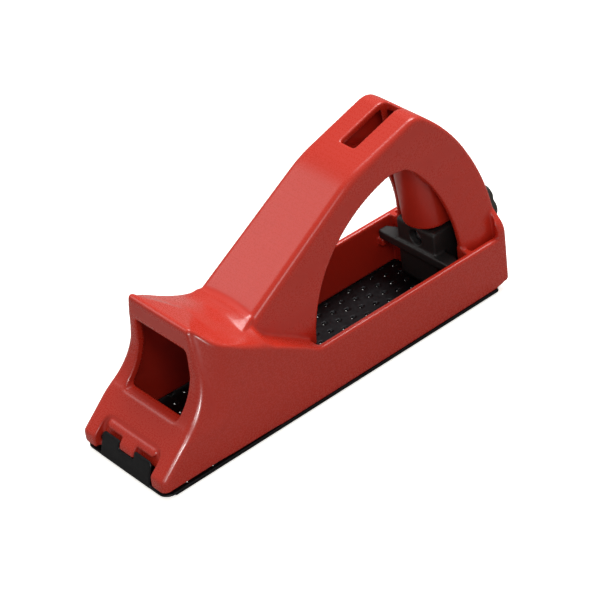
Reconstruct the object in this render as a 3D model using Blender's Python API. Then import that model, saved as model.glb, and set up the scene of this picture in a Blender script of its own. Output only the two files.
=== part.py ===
"""Perforated-blade rasp plane for one hand: a moulded body with an arched handle, and a perforated
steel blade stretched along its sole by a carriage, a screw and a knob at the heel.

Frame: metres, +Z up, +X towards the heel, +Y to the left of the stroke. The origin is on the working
face of the blade, midway between the toe and the heel wall. Lengths below are in millimetres.
"""

import math

import bmesh
import bpy
from mathutils import Matrix, Vector

MM = 0.001

# ---- Driving dimensions, in millimetres ----
LENGTH = 155.0  # toe to heel wall
BASE_HALF_WIDTH = 21.9
WALL = 2.5
GAP = 0.3  # between pieces that touch
TOE_X = -LENGTH / 2
HEEL_X = LENGTH / 2

# Base, seen from the side
RAIL_TOP = 22.4
HEEL_CHAMFER = (6.0, 1.3)  # length and height, under the heel
EAR_RISE = 3.3  # full width of the heel wall above the rails
EAR_SLOPE = 6.3  # both its sideways and its upward run
EAR_THICKNESS = 3.4
TOE_LIFT = 0.9  # the body's lower edge rises this much towards the toe
LIFT_START = TOE_X + 52.5
LIFT_LENGTH = 35.0

# Blade
BLADE_HEIGHT = 1.7  # sheet and its raised teeth together
SHEET = 0.8
BLADE_CORNER = 4.0
TONGUE_HALF_WIDTH = 13.0  # the blade's bent end at the toe
TONGUE_FOOT = 2.0
TONGUE_TOP = 10.0
TONGUE_LEAN = 0.3  # run for each unit of rise
NOTCH_HALF_WIDTH = 4.0  # in the top of the tongue
NOTCH_BOTTOM = 7.0
REAR_TONGUE_HALF_WIDTH = 8.0
HOLE_PITCH_X = 10.7  # perforations
HOLE_PITCH_Y = 2.5
ROW_SHIFT = 6.2
HOLE_SIZE = 1.9
FIRST_HOLE = 6.8  # of the middle row, from the blade's front edge
HOLE_MARGIN = 3.5  # from its ends

# Toe
SLOPE_FOOT_Z = 6.6
SCOOP_START = (TOE_X + 13.3, 19.5)
SCOOP_END = (TOE_X + 22.4, 34.5)
SCOOP_RADIUS = 22.0
RECESS_MARGIN = 2.0  # recess beside the tongue
RECESS_TOP = 14.5
LUG_MARGIN = 0.5  # the bar above the tongue is this much narrower on each side
LUG_BAR = (TONGUE_TOP + 0.8, TONGUE_TOP + 2.8)  # its bottom and top
WINDOW_SILL = (13.8, 19.8)  # half-width and height
WINDOW_HEAD = (13.2, 43.2)

# Nose
LIP = (TOE_X + 24.5, 50.8)
LIP_HALF_WIDTH = BASE_HALF_WIDTH - 6.2
TOP_FALL = 0.452  # nose top, height lost for each unit of length
WAIST_X = TOE_X + 34.3  # where the two creases of the nose top cross
WAIST_HALF_WIDTH = 0.8
SIDE_TOP = 16.5  # the sides are upright to here
NECK_STEP = 2.6  # foot of the neck above the shoulder's edge
SHOULDER_SIDE = [  # x, then the height and half-width of the shoulder's outer edge
    (LIP[0], LIP[1], LIP_HALF_WIDTH),
    (TOE_X + 28.5, 46.6, BASE_HALF_WIDTH - 1.4),
    (TOE_X + 32.0, 44.2, BASE_HALF_WIDTH),
    (TOE_X + 39.0, 39.8, BASE_HALF_WIDTH),
    (TOE_X + 52.5, 32.3, BASE_HALF_WIDTH),
    (TOE_X + 63.7, 26.0, BASE_HALF_WIDTH),
    (TOE_X + 70.5, RAIL_TOP, BASE_HALF_WIDTH),
]

# Handle
NECK_FOOT = (TOE_X + 48.4, 40.0)
SPINE_RISE = 0.617  # slope of the neck, height for each unit of length
BEND_X = TOE_X + 96.4
CREST_X = HEEL_X - 28.0
CREST_Z = 78.83  # height that the top of the handle would reach over CREST_X
GRIP_RADIUS = 66.4  # back of the handle, seen from the side
GRIP_CENTRE = (HEEL_X - GRIP_RADIUS, 25.5)
HANDLE_HALF_WIDTH = 14.4  # at NECK_FOOT's height
HANDLE_DRAFT = 0.04  # half-width lost for each unit of height
HANDLE_SOLE = RAIL_TOP - 4.0  # where the handle's walls end inside the nose
HANDLE_FOOT_X = HEEL_X - 25.5  # its rear walls stand on the sole behind here
HOLE_CENTRE = (HEEL_X - 33.2, 15.0)  # of the finger hole's front edge
HOLE_RADIUS = 48.8
HOLE_TOP = (HEEL_X - 35.2, 62.2)
HOLE_REAR_TOP = (HEEL_X - 31.5, 59.5)
HOLE_REAR_FOOT = (HEEL_X - 16.2, 20.6)
HOLE_REAR_RADIUS = 58.0
SLOT_START = HEEL_X - 47.6
SLOT_LENGTH = 22.1
SLOT_HALF_WIDTH = 3.5
TOWER_RADIUS = 8.3
TOWER_WALL = 2.2
TOWER_X = HEEL_X - 16.6
TOWER_BOTTOM = 28.5
TOWER_LEAN = 0.1  # run forwards for each unit of height
WEB_THICKNESS = 2.0

# Tensioning gear
SCREW_Z = 22.8
SCREW_RADIUS = 2.5
SCREW_PITCH = 0.8
SCREW_TURNS = 6
CLIP_THICKNESS = 0.8
CLIP_WIDTH = 2.1
WASHER_THICKNESS = 1.0
WASHER_WIDTH = 2.2
BOSS_THICKNESS = 0.6
HEAD_ACROSS_FLATS = 8.0
HEAD_LENGTH = 3.5
KNOB_RADIUS = 10.0
KNOB_LENGTH = 7.0
KNOB_FLUTES = 8
FLUTE_DEPTH = 0.9
NUT_ACROSS_FLATS = 8.0
NUT_THICKNESS = 4.0
NUT_X = HEEL_X - 11.5
LEDGE_TOP = 15.1  # the carriage's wings slide on these ledges
LEDGE_THICKNESS = 3.2
LEDGE_WIDTH = 2.4
WING_THICKNESS = 3.5
WING_LENGTH = 6.0
BLOCK_FRONT = HEEL_X - 22.5
BLOCK_HALF_WIDTH = 9.4

# ---- Places worked out from them ----
BODY_BOTTOM = BLADE_HEIGHT + GAP
INNER_HALF_WIDTH = BASE_HALF_WIDTH - WALL
BLADE_FRONT = TOE_X + GAP
BLADE_REAR = HEEL_X - WALL - 2.9
CARRIAGE_REAR = BLADE_REAR - SHEET - GAP
CARRIAGE_TRAVEL = SCREW_PITCH * SCREW_TURNS
SCREW_CLEARANCE = SCREW_RADIUS + GAP
BLOCK_TOP = TOWER_BOTTOM - 0.8
WING_BOTTOM = LEDGE_TOP + GAP
WING_TOP = WING_BOTTOM + WING_THICKNESS
WING_FRONT = BLOCK_FRONT - 1.3
WING_REAR = WING_FRONT + WING_LENGTH
WEB_X = WING_REAR + 1.2
WASHER_X = HEEL_X + GAP
KNOB_X = WASHER_X + WASHER_THICKNESS + GAP
CLIP_X = HEEL_X - WALL - BOSS_THICKNESS - 0.4 - CLIP_THICKNESS

scene = bpy.context.scene
for old in list(bpy.data.objects):
    bpy.data.objects.remove(old)


def new_collection(name):
    collection = bpy.data.collections.new(name)
    scene.collection.children.link(collection)
    return collection


parts = new_collection("rasp_plane")
cutters = new_collection("cutters")
cutters.hide_render = True


# ---- Modelling helpers ----
def finish_mesh(name, bm, collection, merge_flat_faces=True):
    """Make an object of a bmesh, with its doubles merged and its faces pointing out."""
    bmesh.ops.remove_doubles(bm, verts=bm.verts, dist=1e-7)
    if merge_flat_faces:
        bmesh.ops.dissolve_limit(bm, angle_limit=math.radians(0.3), verts=bm.verts, edges=bm.edges)
    bmesh.ops.recalc_face_normals(bm, faces=bm.faces)
    mesh = bpy.data.meshes.new(name)
    bm.to_mesh(mesh)
    bm.free()
    obj = bpy.data.objects.new(name, mesh)
    collection.objects.link(obj)
    if collection is cutters:
        obj.hide_render = True
        obj.display_type = "WIRE"
    return obj


PLANES = {
    "XZ": Matrix(((1, 0, 0), (0, 0, -1), (0, 1, 0))),
    "YZ": Matrix(((0, 0, 1), (1, 0, 0), (0, 1, 0))),
    "XY": Matrix.Identity(3),
}


def plate(name, outlines, plane, low, high, collection=cutters):
    """A flat outline, with any holes in it, extruded square to its plane between two heights."""
    curve = bpy.data.curves.new(name, "CURVE")
    curve.dimensions = "2D"
    curve.fill_mode = "BOTH"
    curve.extrude = (high - low) / 2
    for outline in outlines:
        spline = curve.splines.new("POLY")
        spline.points.add(len(outline) - 1)
        for point, (u, v) in zip(spline.points, outline):
            point.co = (u, v, 0, 1)
        spline.use_cyclic_u = True
    obj = bpy.data.objects.new(name + "_curve", curve)
    scene.collection.objects.link(obj)
    bpy.context.view_layer.update()
    mesh = bpy.data.meshes.new_from_object(obj.evaluated_get(bpy.context.evaluated_depsgraph_get()))
    bm = bmesh.new()
    bm.from_mesh(mesh)
    bpy.data.objects.remove(obj)
    bmesh.ops.remove_doubles(bm, verts=bm.verts, dist=1e-4)
    normal = PLANES[plane] @ Vector((0, 0, 1))
    sign = 1 if sum(normal) > 0 else -1
    shift = Matrix.Translation(normal * sign * (low + high) / 2)
    matrix = Matrix.Scale(MM, 4) @ shift @ PLANES[plane].to_4x4()
    bmesh.ops.transform(bm, matrix=matrix, verts=bm.verts)
    return finish_mesh(name, bm, collection, merge_flat_faces=len(outlines) == 1)


def box(name, x, y, z, collection=cutters):
    """A cuboid between two values on each axis."""
    bm = bmesh.new()
    bmesh.ops.create_cube(bm, size=1)
    size = Vector((x[1] - x[0], y[1] - y[0], z[1] - z[0])) * MM
    centre = Vector((x[1] + x[0], y[1] + y[0], z[1] + z[0])) * MM / 2
    matrix = Matrix.Translation(centre) @ Matrix.Diagonal(size).to_4x4()
    bmesh.ops.transform(bm, matrix=matrix, verts=bm.verts)
    return finish_mesh(name, bm, collection)


def cylinder(name, radius, x, z, sides, collection=cutters):
    """A cylinder along X, centred on the screw's height or on another."""
    bm = bmesh.new()
    bmesh.ops.create_cone(
        bm, cap_ends=True, segments=sides, radius1=radius * MM, radius2=radius * MM,
        depth=(x[1] - x[0]) * MM,
    )
    place = Matrix.Translation(Vector(((x[0] + x[1]) / 2, 0, z)) * MM)
    bmesh.ops.transform(bm, matrix=place @ Matrix.Rotation(math.pi / 2, 4, "Y"), verts=bm.verts)
    return finish_mesh(name, bm, collection)


def loft(name, stations, collection=cutters):
    """Skin a row of closed sections that have the same number of points, and cap both ends."""
    bm = bmesh.new()
    rings = [[bm.verts.new(Vector(point) * MM) for point in section] for section in stations]
    for before, after in zip(rings, rings[1:]):
        for i in range(len(before)):
            j = (i + 1) % len(before)
            bm.faces.new((before[i], before[j], after[j], after[i]))
    bm.faces.new(rings[0])
    bm.faces.new(rings[-1])
    bmesh.ops.triangulate(bm, faces=bm.faces)
    return finish_mesh(name, bm, collection)


def combine(target, operation, *others, solver="EXACT"):
    for other in others:
        modifier = target.modifiers.new(f"{operation.lower()}_{other.name}", "BOOLEAN")
        modifier.operation = operation
        modifier.solver = solver
        modifier.object = other


def arc(centre, radius, start, end, steps):
    """Points on an arc, its angles in degrees from the first axis towards the second."""
    angles = [math.radians(start + (end - start) * i / steps) for i in range(steps + 1)]
    return [(centre[0] + radius * math.cos(a), centre[1] + radius * math.sin(a)) for a in angles]


def arc_through(start, end, radius, steps):
    """Points on the arc of a radius from start to end that bows out to the left of that way."""
    chord = Vector(end) - Vector(start)
    middle = (Vector(start) + Vector(end)) / 2
    across = Vector((chord.y, -chord.x)).normalized()
    centre = middle + across * math.sqrt(radius**2 - (chord.length / 2) ** 2)
    first = Vector(start) - centre
    turn = -2 * math.asin(chord.length / 2 / radius)
    points = []
    for i in range(steps + 1):
        points.append(tuple(centre + Matrix.Rotation(turn * i / steps, 2) @ first))
    return points


def mirrored(half):
    """A closed outline from its half at positive first coordinate, given from bottom to top."""
    return half + [(-u, v) for u, v in reversed(half) if u > 0]


def mix(low, high, share):
    return low + (high - low) * share


def lookup(table, x):
    """Read a value from a table of (x, value), straight between its rows."""
    for (x0, v0), (x1, v1) in zip(table, table[1:]):
        if x <= x1:
            return mix(v0, v1, max(0.0, (x - x0) / (x1 - x0)))
    return table[-1][1]


# ---- Lines of the body, seen from the side ----
def spine_z(x):
    """Height of the handle's front and top surface over x, before the crest."""
    bend_z = NECK_FOOT[1] + SPINE_RISE * (BEND_X - NECK_FOOT[0])
    if x < BEND_X:
        return bend_z + SPINE_RISE * (x - BEND_X)
    return mix(bend_z, CREST_Z, (x - BEND_X) / (CREST_X - BEND_X))


def handle_half_width(z):
    return HANDLE_HALF_WIDTH - HANDLE_DRAFT * (z - NECK_FOOT[1])


def top_z(x):
    """Height of the nose top along its middle."""
    return LIP[1] - TOP_FALL * (x - LIP[0])


def crease_half_width(x):
    """Half-width of the flat along the nose top: two creases cross at the waist."""
    if x < WAIST_X:
        return mix(WAIST_HALF_WIDTH, LIP_HALF_WIDTH - 0.6, (WAIST_X - x) / (WAIST_X - LIP[0]))
    share = min(1.0, (x - WAIST_X) / (NECK_FOOT[0] - WAIST_X))
    return mix(WAIST_HALF_WIDTH, HANDLE_HALF_WIDTH, share)


def nose_section(x, inset):
    """The closed section of nose and shoulder at x, moved in by inset on the sides and the top."""
    at = max(x, LIP[0])
    side_z = lookup([(row[0], row[1]) for row in SHOULDER_SIDE], at)
    side_y = lookup([(row[0], row[2]) for row in SHOULDER_SIDE], at)
    crease_y = crease_half_width(at)
    crease_z = top_z(at)
    if at > NECK_FOOT[0]:
        share = (at - NECK_FOOT[0]) / (SHOULDER_SIDE[-1][0] - NECK_FOOT[0])
        crease_z = side_z + NECK_STEP * (1 - share)
    lift = TOE_LIFT * min(1.0, max(0.0, (LIFT_START - x) / LIFT_LENGTH))
    bottom = BODY_BOTTOM + lift if inset == 0 else -1.0
    half = [
        (BASE_HALF_WIDTH - inset, bottom),
        (BASE_HALF_WIDTH - inset, min(SIDE_TOP, side_z - inset - 1.0)),
        (side_y - inset, side_z - inset),
        (min(crease_y, side_y - inset - 0.2), max(crease_z, side_z + 0.01) - inset),
    ]
    return [(x, u, v) for u, v in mirrored(half)]


def front_line(inset):
    """Toe, scoop and lip in side view, from the sole up, moved back by inset."""
    points = [(TOE_X, -2.0), (TOE_X, SLOPE_FOOT_Z), (TOE_X + 0.7, SLOPE_FOOT_Z + 1.6)]
    points += reversed(arc_through(SCOOP_END, SCOOP_START, SCOOP_RADIUS, 5))
    points += [(LIP[0] - 1.9, LIP[1] - 6.8), (LIP[0] - 1.4, LIP[1] - 2.3), (LIP[0] - 0.2, LIP[1] - 0.2)]
    points += [(LIP[0] + 3.0, LIP[1] + 9.2)]
    return [(x + inset, z) for x, z in points]


def handle_outline():
    """Side view of the whole handle before its hollow and hole are cut."""
    end = math.degrees(math.asin((spine_z(CREST_X) - 1.2 - GRIP_CENTRE[1]) / GRIP_RADIUS))
    back = arc(GRIP_CENTRE, GRIP_RADIUS, end, 0, 12)
    foot = (NECK_FOOT[0] - 1.9, HANDLE_SOLE)
    points = [foot, NECK_FOOT, (BEND_X - 4.0, spine_z(BEND_X - 4.0))]
    points += [(BEND_X + 4.0, spine_z(BEND_X + 4.0)), (CREST_X - 2.5, spine_z(CREST_X - 2.5))]
    points += back + [(HEEL_X, BODY_BOTTOM), (HANDLE_FOOT_X, BODY_BOTTOM)]
    points.append((HANDLE_FOOT_X, HANDLE_SOLE))
    return points


def hollow_outline():
    """Side view of the space inside the handle's walls, run on into the nose and the base."""
    skin = WALL * math.sqrt(1 + SPINE_RISE**2)
    reach = GRIP_RADIUS - WALL
    end = math.degrees(math.asin((spine_z(CREST_X) - 2.1 - WALL - GRIP_CENTRE[1]) / reach))
    back = arc(GRIP_CENTRE, reach, end, 0, 12)
    front = NECK_FOOT[0] - 8.0
    points = [(front, 10.0), (front, spine_z(front) - skin)]
    points += [(BEND_X - 3.2, spine_z(BEND_X - 3.2) - skin), (BEND_X + 4.8, spine_z(BEND_X + 4.8) - WALL)]
    points += back + [(HEEL_X - WALL, 0.0), (HANDLE_FOOT_X - 2.0, 0.0), (HANDLE_FOOT_X - 2.0, 10.0)]
    return points


def finger_hole_outline():
    """Side view of the finger hole: a round front, and a rear edge that follows the grip."""
    front = arc(HOLE_CENTRE, HOLE_RADIUS, 172, 100, 14)
    rear = arc_through(HOLE_REAR_TOP, HOLE_REAR_FOOT, HOLE_REAR_RADIUS, 5)
    return front + [HOLE_TOP] + rear + [(HOLE_REAR_FOOT[0] + 1.7, 0.0), (front[0][0] - 4.0, 0.0)]


def taper(obj):
    """Bring the sides of an extruded handle piece in with height."""
    for vertex in obj.data.vertices:
        half = handle_half_width(vertex.co.z / MM)
        vertex.co.y *= half / HANDLE_HALF_WIDTH
    return obj


# ---- Body ----
def build_body():
    edge = [row[0] for row in SHOULDER_SIDE]
    stations = sorted([TOE_X - 2.5, WAIST_X, (WAIST_X + NECK_FOOT[0]) / 2, NECK_FOOT[0]] + edge)
    body = loft("body", [nose_section(x, 0.0) for x in stations], parts)
    base_front = edge[-1] - 1.0
    base_side = [(base_front, BODY_BOTTOM), (HEEL_X - HEEL_CHAMFER[0], BODY_BOTTOM)]
    base_side += [(HEEL_X, BODY_BOTTOM + HEEL_CHAMFER[1]), (HEEL_X, RAIL_TOP), (base_front, RAIL_TOP)]
    base = plate("base", [base_side], "XZ", -BASE_HALF_WIDTH, BASE_HALF_WIDTH)
    ear_z = RAIL_TOP + EAR_RISE
    ear = [(BASE_HALF_WIDTH, 10.0), (BASE_HALF_WIDTH, ear_z)]
    ear.append((BASE_HALF_WIDTH - EAR_SLOPE, ear_z + EAR_SLOPE))
    heel_ears = plate("heel_ears", [mirrored(ear)], "YZ", HEEL_X - EAR_THICKNESS, HEEL_X)
    combine(body, "UNION", base, heel_ears)
    combine(body, "DIFFERENCE", front_cutter("front_cut", 0.0))

    inner = loft("nose_hollow", [nose_section(x, WALL) for x in stations])
    combine(inner, "DIFFERENCE", front_cutter("nose_hollow_front", WALL + 0.6))
    span = (-INNER_HALF_WIDTH, INNER_HALF_WIDTH)
    channel = box("channel", (edge[-1] - 0.5, HEEL_X - WALL), span, (-1.0, RAIL_TOP + 20.0))
    combine(body, "DIFFERENCE", inner, channel)

    half = HANDLE_HALF_WIDTH
    handle = taper(plate("handle", [handle_outline()], "XZ", -half, half))
    hollow = taper(plate("handle_hollow", [hollow_outline()], "XZ", WALL - half, half - WALL))
    hole = plate("finger_hole", [finger_hole_outline()], "XZ", -half - 3, half + 3)
    combine(handle, "DIFFERENCE", hollow, hole)
    combine(body, "UNION", handle)
    combine(body, "UNION", build_tower(), *build_webs(), *build_ledges(), build_boss())

    sill, head = WINDOW_SILL, WINDOW_HEAD
    window = mirrored([(sill[0], sill[1]), (head[0], head[1])])
    combine(body, "DIFFERENCE", plate("window", [window], "YZ", TOE_X + 2.5, LIP[0] + 2.5))
    slot = (-SLOT_HALF_WIDTH, SLOT_HALF_WIDTH)
    combine(body, "DIFFERENCE", box("top_slot", (SLOT_START, SLOT_START + SLOT_LENGTH), slot, (66.0, 90.0)))
    screw_hole = cylinder("screw_hole", SCREW_CLEARANCE + 0.1, (HEEL_X - 7.5, HEEL_X + 2.5), SCREW_Z, 24)
    combine(body, "DIFFERENCE", build_recess(), screw_hole)
    return body


def front_cutter(name, inset):
    """Everything ahead of the front line, as wide as the body."""
    ahead = TOE_X - 17.0
    outline = front_line(inset) + [(ahead, LIP[1] + 9.2), (ahead, -2.0)]
    return plate(name, [outline], "XZ", -BASE_HALF_WIDTH - 8, BASE_HALF_WIDTH + 8)


def build_tower():
    """Half-round column behind the finger hole, open below and joined to the grip's back."""
    outer = TOWER_RADIUS
    inner = TOWER_RADIUS - TOWER_WALL
    reach = 16.0
    outside = [(reach, -outer)] + arc((0.0, 0.0), outer, 270, 90, 12) + [(reach, outer)]
    inside = [(reach, inner)] + arc((0.0, 0.0), inner, 90, 270, 12) + [(reach, -inner)]
    column = plate("tower", [outside + inside], "XY", TOWER_BOTTOM, 80.0)
    for vertex in column.data.vertices:
        vertex.co.x += (TOWER_X - TOWER_LEAN * (vertex.co.z / MM - TOWER_BOTTOM)) * MM
    shape = taper(plate("tower_limit", [handle_outline()], "XZ", -outer - 0.7, outer + 0.7))
    combine(column, "INTERSECT", shape)
    return column


def build_webs():
    """Upright webs from the feet of the grip to the rails, in front of the heel pockets."""
    foot = handle_half_width(RAIL_TOP) - 1.0
    reach = INNER_HALF_WIDTH + 1.0
    webs = []
    for side in (-1, 1):
        span = sorted((side * foot, side * reach))
        webs.append(box(f"web_{side}", (WEB_X, WEB_X + WEB_THICKNESS), span, (BODY_BOTTOM, RAIL_TOP - 0.3)))
    return webs


def build_ledges():
    """Ledges inside the rails that the carriage's wings slide on."""
    start = WING_REAR - CARRIAGE_TRAVEL - 0.9
    height = (LEDGE_TOP - LEDGE_THICKNESS, LEDGE_TOP)
    ledges = []
    for side in (-1, 1):
        span = sorted((side * (INNER_HALF_WIDTH - LEDGE_WIDTH), side * (INNER_HALF_WIDTH + 1.0)))
        ledges.append(box(f"ledge_{side}", (start, WEB_X + 1.0), span, height))
    return ledges


def build_boss():
    """Raised ring on the inside of the heel wall that the clip turns against."""
    return cylinder("boss", SCREW_RADIUS + 4.0, (HEEL_X - WALL - BOSS_THICKNESS, HEEL_X - 0.5), SCREW_Z, 24)


def build_recess():
    """Arched recess in the toe for the blade's tongue, less the bar and stem that stand in it."""
    foot = BLADE_FRONT + SHEET + 0.4
    face = BLADE_FRONT - 0.1
    ahead = TOE_X - 4.0
    bar_wide = TONGUE_HALF_WIDTH - LUG_MARGIN
    bar_low, bar_top = LUG_BAR
    wide = TONGUE_HALF_WIDTH + RECESS_MARGIN
    side = [(ahead, -2.0), (foot, -2.0), (foot, TONGUE_FOOT)]
    side += [(foot + TONGUE_LEAN * (bar_low - TONGUE_FOOT), bar_low), (TOE_X + 8.6, RECESS_TOP)]
    side += [(TOE_X + 3.0, RECESS_TOP + 8.0), (ahead, RECESS_TOP + 8.0)]
    recess = plate("toe_recess", [side], "XZ", -wide, wide)
    arch = [(wide, -3.0), (wide, RECESS_TOP - 4.0), (wide - 1.5, RECESS_TOP - 1.4), (wide - 5.5, RECESS_TOP)]
    combine(recess, "INTERSECT", plate("recess_arch", [mirrored(arch)], "YZ", TOE_X - 12, TOE_X + 18))
    stem = NOTCH_HALF_WIDTH - GAP
    lug = [(stem, NOTCH_BOTTOM + GAP), (stem, bar_low), (bar_wide, bar_low), (bar_wide, bar_top)]
    keep = plate("toe_lug", [mirrored(lug)], "YZ", TOE_X - 1.0, TOE_X + 18)
    lean = [(face + TONGUE_LEAN * (z - TONGUE_FOOT), z) for z in (4.0, bar_top + 1)]
    lean += [(TOE_X + 16.0, bar_top + 1), (TOE_X + 16.0, 4.0)]
    combine(keep, "INTERSECT", plate("lug_face", [lean], "XZ", -bar_wide - 1, bar_wide + 1))
    combine(recess, "DIFFERENCE", keep)
    return recess


# ---- Blade ----
def tooth_holes():
    """A lozenge for each hole, in rows across the blade, each row shifted along from the last."""
    outlines = []
    half = HOLE_SIZE / 2
    rows = int((BASE_HALF_WIDTH - 1.4) / HOLE_PITCH_Y)
    for row in range(-rows, rows + 1):
        x = BLADE_FRONT + (FIRST_HOLE + row * ROW_SHIFT) % HOLE_PITCH_X
        if x < BLADE_FRONT + HOLE_MARGIN:
            x += HOLE_PITCH_X
        y = row * HOLE_PITCH_Y
        while x < BLADE_REAR - HOLE_MARGIN:
            outlines.append([(x - half, y), (x, y - half * 0.8), (x + half, y), (x, y + half * 0.8)])
            x += HOLE_PITCH_X
    return outlines


def build_blade():
    wide = BASE_HALF_WIDTH
    corner = arc((BLADE_FRONT + BLADE_CORNER, BLADE_CORNER - wide), BLADE_CORNER, 270, 180, 3)
    left = [(x, -y) for x, y in reversed(corner)]
    outline = [(BLADE_REAR, -wide)] + corner + left + [(BLADE_REAR, wide)]
    blade = plate("blade", [outline] + tooth_holes(), "XY", 0.0, BLADE_HEIGHT, parts)
    run = TONGUE_LEAN * (TONGUE_TOP - TONGUE_FOOT)
    back = BLADE_FRONT + SHEET
    front = [(BLADE_FRONT, 0.3), (back, 0.3), (back, TONGUE_FOOT), (back + run, TONGUE_TOP)]
    front += [(BLADE_FRONT + run, TONGUE_TOP + 0.3), (BLADE_FRONT, TONGUE_FOOT)]
    notch = (-NOTCH_HALF_WIDTH, NOTCH_HALF_WIDTH)
    tongue = plate("front_tongue", [front], "XZ", -TONGUE_HALF_WIDTH, TONGUE_HALF_WIDTH)
    height = (NOTCH_BOTTOM, TONGUE_TOP + 4.0)
    combine(tongue, "DIFFERENCE", box("tongue_notch", (TOE_X - 3, TOE_X + 8), notch, height))
    span = (-REAR_TONGUE_HALF_WIDTH, REAR_TONGUE_HALF_WIDTH)
    rear = box("rear_tongue", (BLADE_REAR - SHEET, BLADE_REAR), span, (0.3, TONGUE_TOP + 1.0))
    combine(blade, "UNION", tongue, rear, solver="MANIFOLD")
    return blade


# ---- Tensioning gear ----
def build_carriage():
    tip = INNER_HALF_WIDTH - 0.9
    root = BLOCK_HALF_WIDTH - 1.0
    wing = [(WING_FRONT, tip), (WING_FRONT + 3.9, tip), (WING_REAR, tip - 3.9), (WING_REAR, root)]
    wing += [(x, -y) for x, y in reversed(wing)]
    carriage = plate("carriage", [wing], "XY", WING_BOTTOM, WING_TOP, parts)
    side = [(BLOCK_FRONT, 5.0), (BLOCK_FRONT + 2.0, BODY_BOTTOM), (CARRIAGE_REAR, BODY_BOTTOM)]
    side += [(CARRIAGE_REAR, BLOCK_TOP), (BLOCK_FRONT + 1.2, BLOCK_TOP), (BLOCK_FRONT, BLOCK_TOP - 1.2)]
    block = plate("block", [side], "XZ", -BLOCK_HALF_WIDTH, BLOCK_HALF_WIDTH)
    combine(carriage, "UNION", block)
    across = NUT_ACROSS_FLATS / 2 + GAP
    thick = NUT_THICKNESS / 2 + GAP
    height = (SCREW_Z - across - 0.8, BLOCK_TOP + 3)
    pocket = box("nut_pocket", (NUT_X - thick, NUT_X + thick), (-across, across), height)
    bore = cylinder("carriage_bore", SCREW_CLEARANCE + 0.2, (BLOCK_FRONT - 5.0, HEEL_X), SCREW_Z, 20)
    combine(carriage, "DIFFERENCE", pocket, bore)
    return carriage


def hexagon(across_flats, centre_z):
    """A hexagon with two of its flats upright."""
    return arc((0.0, centre_z), across_flats / math.sqrt(3), 30, 330, 5)


def circle(radius, centre_z, steps):
    return arc((0.0, centre_z), radius, 0, 360 * (steps - 1) / steps, steps - 1)


def build_screw():
    """Hexagon-headed screw with a groove for its clip."""
    end = KNOB_X + KNOB_LENGTH - 0.6
    head = end - HEAD_LENGTH
    start = NUT_X - NUT_THICKNESS / 2 - CARRIAGE_TRAVEL - 2.2
    screw = cylinder("tension_screw", SCREW_RADIUS, (start, head + 0.2), SCREW_Z, 20, parts)
    combine(screw, "UNION", plate("screw_head", [hexagon(HEAD_ACROSS_FLATS, SCREW_Z)], "YZ", head, end))
    groove = [circle(SCREW_RADIUS + 1, SCREW_Z, 20), circle(SCREW_RADIUS - 0.5, SCREW_Z, 20)]
    width = (CLIP_X - GAP, CLIP_X + CLIP_THICKNESS + GAP)
    combine(screw, "DIFFERENCE", plate("clip_groove", groove, "YZ", *width))
    return screw


def build_knob():
    """Knob with finger flutes, and a hexagonal seat that the screw's head sits in."""
    outline = []
    for i in range(48):
        angle = 2 * math.pi * i / 48
        radius = KNOB_RADIUS - FLUTE_DEPTH * (0.5 - 0.5 * math.cos(KNOB_FLUTES * angle)) ** 2
        outline.append((radius * math.cos(angle), SCREW_Z + radius * math.sin(angle)))
    end = KNOB_X + KNOB_LENGTH
    bore = circle(SCREW_CLEARANCE, SCREW_Z, 20)
    knob = plate("tension_knob", [outline, bore], "YZ", KNOB_X, end, parts)
    across = HEAD_ACROSS_FLATS + 2 * GAP
    seat = plate("head_seat", [hexagon(across, SCREW_Z)], "YZ", end - HEAD_LENGTH - 0.9, end + 2)
    combine(knob, "DIFFERENCE", seat)
    return knob


def build_ring(name, outer, inner, x, thickness):
    outlines = [circle(outer, SCREW_Z, 24), circle(inner, SCREW_Z, 24)]
    return plate(name, outlines, "YZ", x, x + thickness, parts)


def build_clip():
    """Open ring that snaps into the screw's groove."""
    outer = SCREW_RADIUS + CLIP_WIDTH
    clip = build_ring("retaining_clip", outer, SCREW_RADIUS - 0.2, CLIP_X, CLIP_THICKNESS)
    half = SCREW_RADIUS - 0.8
    height = (SCREW_Z - 2 * outer, SCREW_Z - 0.5)
    mouth = box("clip_mouth", (CLIP_X - 1, CLIP_X + 2), (-half, half), height)
    combine(clip, "DIFFERENCE", mouth, solver="MANIFOLD")
    return clip


def build_nut():
    outlines = [hexagon(NUT_ACROSS_FLATS, SCREW_Z), circle(SCREW_CLEARANCE, SCREW_Z, 20)]
    half = NUT_THICKNESS / 2
    return plate("captive_nut", outlines, "YZ", NUT_X - half, NUT_X + half, parts)


# ---- Materials ----
def material(name, color, roughness, metallic):
    mat = bpy.data.materials.new(name)
    mat.use_nodes = True
    shader = mat.node_tree.nodes["Principled BSDF"]
    shader.inputs["Base Color"].default_value = (*color, 1.0)
    shader.inputs["Roughness"].default_value = roughness
    shader.inputs["Metallic"].default_value = metallic
    return mat


FINISHES = {
    "body": material("red_plastic", (0.62, 0.045, 0.03), 0.35, 0.0),
    "blade": material("blackened_steel", (0.02, 0.02, 0.022), 0.45, 0.8),
    "carriage": material("black_plastic", (0.015, 0.015, 0.016), 0.5, 0.0),
    "tension_knob": material("black_knob_plastic", (0.015, 0.015, 0.016), 0.4, 0.0),
    "tension_screw": material("zinc_plated_screw", (0.6, 0.6, 0.62), 0.3, 1.0),
    "captive_nut": material("zinc_plated_nut", (0.6, 0.6, 0.62), 0.35, 1.0),
    "washer": material("zinc_plated_washer", (0.6, 0.6, 0.62), 0.35, 1.0),
    "retaining_clip": material("spring_steel", (0.25, 0.25, 0.27), 0.4, 1.0),
}

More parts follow.
